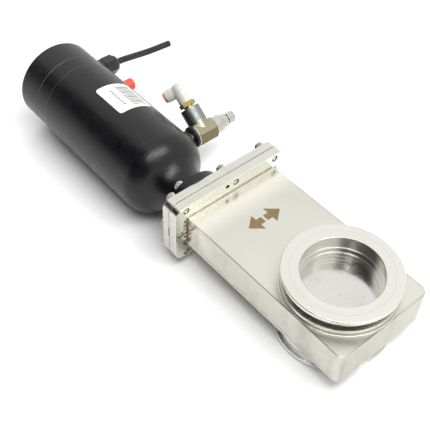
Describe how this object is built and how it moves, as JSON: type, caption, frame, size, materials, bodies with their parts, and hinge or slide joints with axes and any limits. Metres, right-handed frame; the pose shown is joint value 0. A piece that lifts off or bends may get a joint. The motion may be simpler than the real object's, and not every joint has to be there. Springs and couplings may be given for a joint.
{
  "type": "pneumatic slide gate valve",
  "caption": "Flat stainless slide gate valve with two clamp-type round ports, closed gate, and a bottle-shaped black air actuator with air and cable fittings.",
  "frame": {"origin": "centre of the lower port's sealing face", "axes": "+Z along the port axis from the lower port to the upper one, -X along the gate's opening travel towards the actuator, +Y towards the side with the air and cable fittings"},
  "size_m": [0.415, 0.1722, 0.0821],
  "materials": {
    "blasted_stainless": "bead-blasted satin stainless steel, faintly warm, with handling marks",
    "turned_stainless": "fine turned stainless steel, half bright",
    "machined_stainless": "fly-cut stainless steel with fine machining lines",
    "gate_stainless": "lapped satin stainless steel",
    "bolt_steel": "plain stainless socket-head screws",
    "ball_steel": "polished ball-bearing steel",
    "spring_steel": "bright rolled spring steel",
    "ground_steel": "ground and polished rod",
    "bronze": "turned bearing bronze",
    "bare_aluminium": "turned bare aluminium",
    "black_anodised": "satin black anodised aluminium",
    "black_cap": "satin black anodised cap, a little browner than the housing",
    "magnet": "bonded ring magnet",
    "switch_plastic": "dark switch tube",
    "terminal_plastic": "green terminal block",
    "black_nylon": "black nylon cable gland",
    "cable_jacket": "black cable jacket, lightly ribbed by its cores",
    "black_rubber": "black elastomer",
    "red_plastic": "soft red plastic port plug",
    "black_fitting": "black threaded adapter",
    "nickel_satin": "nickel-plated brass, yellowish and a little tarnished",
    "nickel_bright": "bright nickel plating",
    "brass": "bare brass",
    "white_plastic": "white moulded fitting body",
    "orange_plastic": "orange release ring",
    "white_ptfe": "PTFE guide pads",
    "label_paper": "white paper label"
  },
  "bodies": {
    "valve": {"body_frame": "blasted_stainless", "upper_cover": "blasted_stainless", "lower_cover": "blasted_stainless", "upper_port_flange": "turned_stainless", "lower_port_flange": "turned_stainless", "body_plate": "machined_stainless", "bonnet_plate": "machined_stainless", "bonnet_gasket": "black_rubber", "bonnet_bolts": "bolt_steel", "shaft_seal_carrier": "bronze", "shaft_seals": "black_rubber", "actuator_housing": "black_anodised", "base_screws": "bolt_steel", "rod_bushing": "bronze", "rod_seal": "black_rubber", "reed_switch_tube": "switch_plastic", "rear_head": "black_anodised", "rear_head_seal": "black_rubber", "end_cap": "black_cap", "cap_screws": "bolt_steel", "terminal_block": "terminal_plastic", "gland_body": "black_nylon", "gland_seal": "black_rubber", "gland_nut": "black_nylon", "signal_cable": "cable_jacket", "rear_port_plug": "red_plastic", "air_port_adapter": "black_fitting", "adapter_gasket": "black_rubber", "seal_washer": "nickel_bright", "speed_control_body": "nickel_satin", "needle_bonnet": "nickel_bright", "elbow_stud": "brass", "asset_label": "label_paper"},
    "gate_train": {"carriage": "gate_stainless", "carriage_pads": "white_ptfe", "detent_balls": "ball_steel", "leaf_springs": "spring_steel", "piston_rod": "ground_steel", "piston": "bare_aluminium", "piston_seal": "black_rubber", "piston_magnet": "magnet", "piston_nut": "bolt_steel"},
    "gate": {"gate_plate": "gate_stainless", "gate_seal": "black_rubber"},
    "counter": {"counter_plate": "gate_stainless"},
    "needle_slide": {"needle_seal": "black_rubber"},
    "needle": {"needle_screw": "nickel_bright"},
    "elbow": {"elbow_body": "white_plastic", "tube_seal": "black_rubber", "grip_ring": "spring_steel"},
    "release_ring": {"release_ring": "orange_plastic"}
  },
  "joints": [
    {"name": "gate_travel", "type": "slide", "parent": "valve", "child": "gate_train", "axis": [-1, 0, 0], "range_m": [0, 0.074]},
    {"name": "gate_release", "type": "slide", "parent": "gate_train", "child": "gate", "axis": [0, 0, -1], "range_m": [0, 0.0008]},
    {"name": "counter_release", "type": "slide", "parent": "gate_train", "child": "counter", "axis": [0, 0, 1], "range_m": [0, 0.0008]},
    {"name": "needle_travel", "type": "slide", "parent": "valve", "child": "needle_slide", "axis": [0, 1, 0], "range_m": [-0.001, 0.003]},
    {"name": "needle_turn", "type": "hinge", "parent": "needle_slide", "child": "needle", "pos_m": [-0.2143, 0.0704, 0.03325], "axis": [0, 1, 0], "range_deg": [-480, 1440]},
    {"name": "elbow_swivel", "type": "hinge", "parent": "valve", "child": "elbow", "pos_m": [-0.25064, 0.0414, 0.06063], "axis": [-0.7986, 0, 0.6018], "continuous": true},
    {"name": "tube_release", "type": "slide", "parent": "elbow", "child": "release_ring", "axis": [0.4255, 0.7071, 0.5647], "range_m": [0, 0.0012], "stiffness_N_per_m": 400}
  ],
  "couplings": [
    {"joint": "counter_release", "follows": "gate_release", "ratio": 1},
    {"joint": "needle_turn", "follows": "needle_travel", "rad_per_m": 8377.6}
  ]
}
